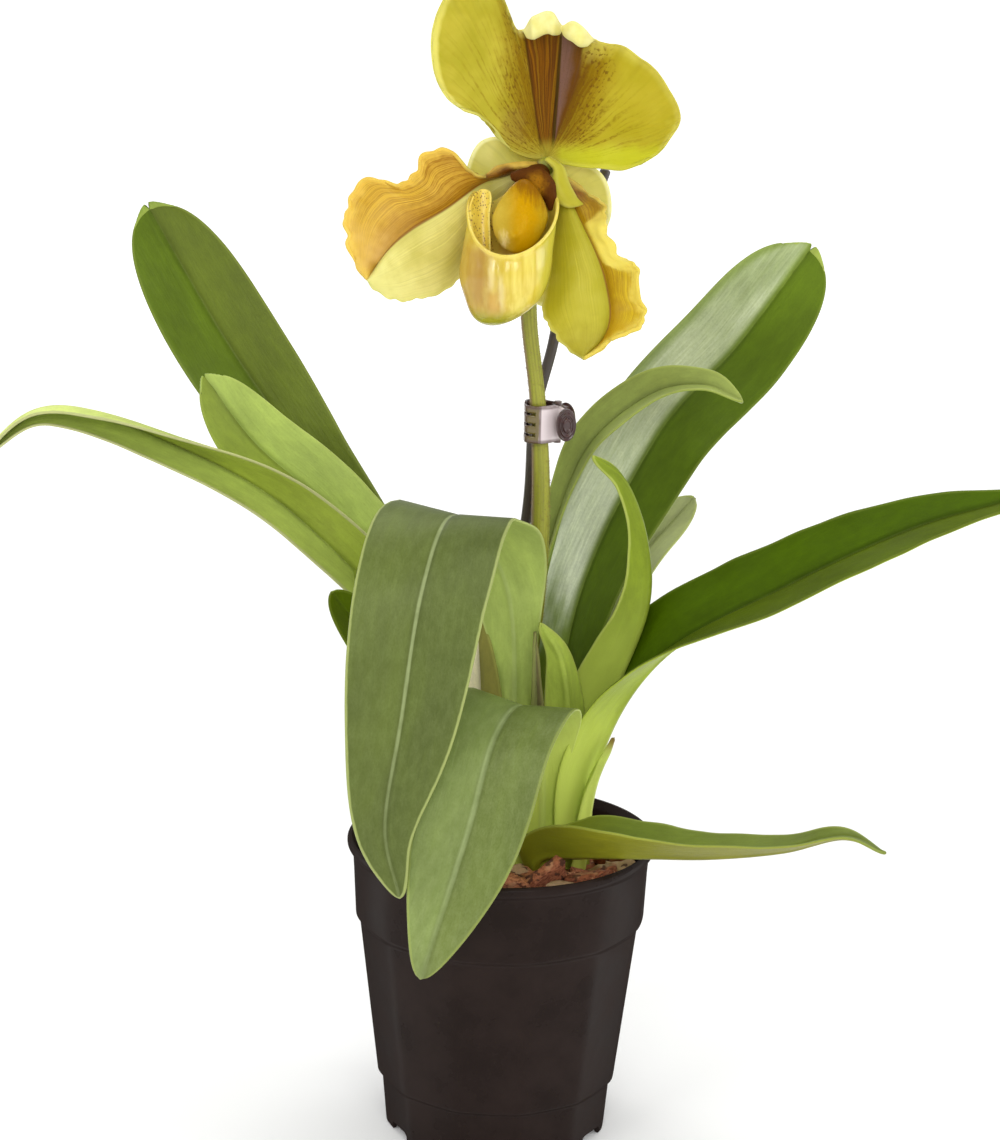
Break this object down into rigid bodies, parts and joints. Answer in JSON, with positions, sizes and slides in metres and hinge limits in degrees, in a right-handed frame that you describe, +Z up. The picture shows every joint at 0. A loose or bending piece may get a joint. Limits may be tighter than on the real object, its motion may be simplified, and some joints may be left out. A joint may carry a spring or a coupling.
{
  "type": "potted slipper orchid",
  "caption": "Slipper orchid in a plain dark nursery pot: arching strap leaves, a bloom with a pouch and a hooded sepal on a hairy stem, a stake and a claw clip.",
  "frame": {"origin": "centre of the pot's underside, on the surface that the pot stands on", "axes": "+Z up, +X to the right and +Y away from the viewer of the picture"},
  "size_m": [0.3825, 0.1492, 0.443],
  "materials": {
    "pot": "satin",
    "bark": "rough, fibrous",
    "leaf": "satin, finely striated",
    "stem": "matt, hairy",
    "stake": "satin",
    "column": "glossy, waxy",
    "pouch": "waxy",
    "petal": "waxy, veined",
    "sepal": "waxy, veined",
    "lower_sepal": "waxy",
    "clip": "glossy, tinted",
    "clip_pin": "glossy, tinted",
    "spring": "bright"
  },
  "bodies": {
    "plant": {"pot": "pot", "potting_bark": "bark", "flower_stem": "stem", "stake": "stake", "column": "column", "pouch": "pouch", "left_petal": "petal", "right_petal": "petal", "dorsal_sepal": "sepal", "synsepal": "lower_sepal", "sheath_dry_tip": "leaf", "clip_back_jaw": "clip", "clip_pin": "clip_pin", "clip_spring": "spring", "leaf_low_right": "leaf", "leaf_front_low": "leaf", "leaf_long_right": "leaf", "leaf_small_centre": "leaf", "leaf_curled_tip": "leaf", "leaf_front_arch": "leaf", "leaf_tall_right": "leaf", "leaf_arching_right": "leaf", "leaf_far_left": "leaf", "leaf_mid_left": "leaf", "leaf_tall_left": "leaf", "leaf_short_left": "leaf", "leaf_back_right": "leaf"},
    "clip_jaw": {"clip_front_jaw": "clip"}
  },
  "joints": [
    {"name": "clip_hinge", "type": "hinge", "parent": "plant", "child": "clip_jaw", "pos_m": [0.0175, -0.0075, 0.283], "axis": [0, 0, 1], "range_deg": [0, 20], "stiffness_Nm_per_rad": 0.01, "springref_deg": -17.19}
  ]
}
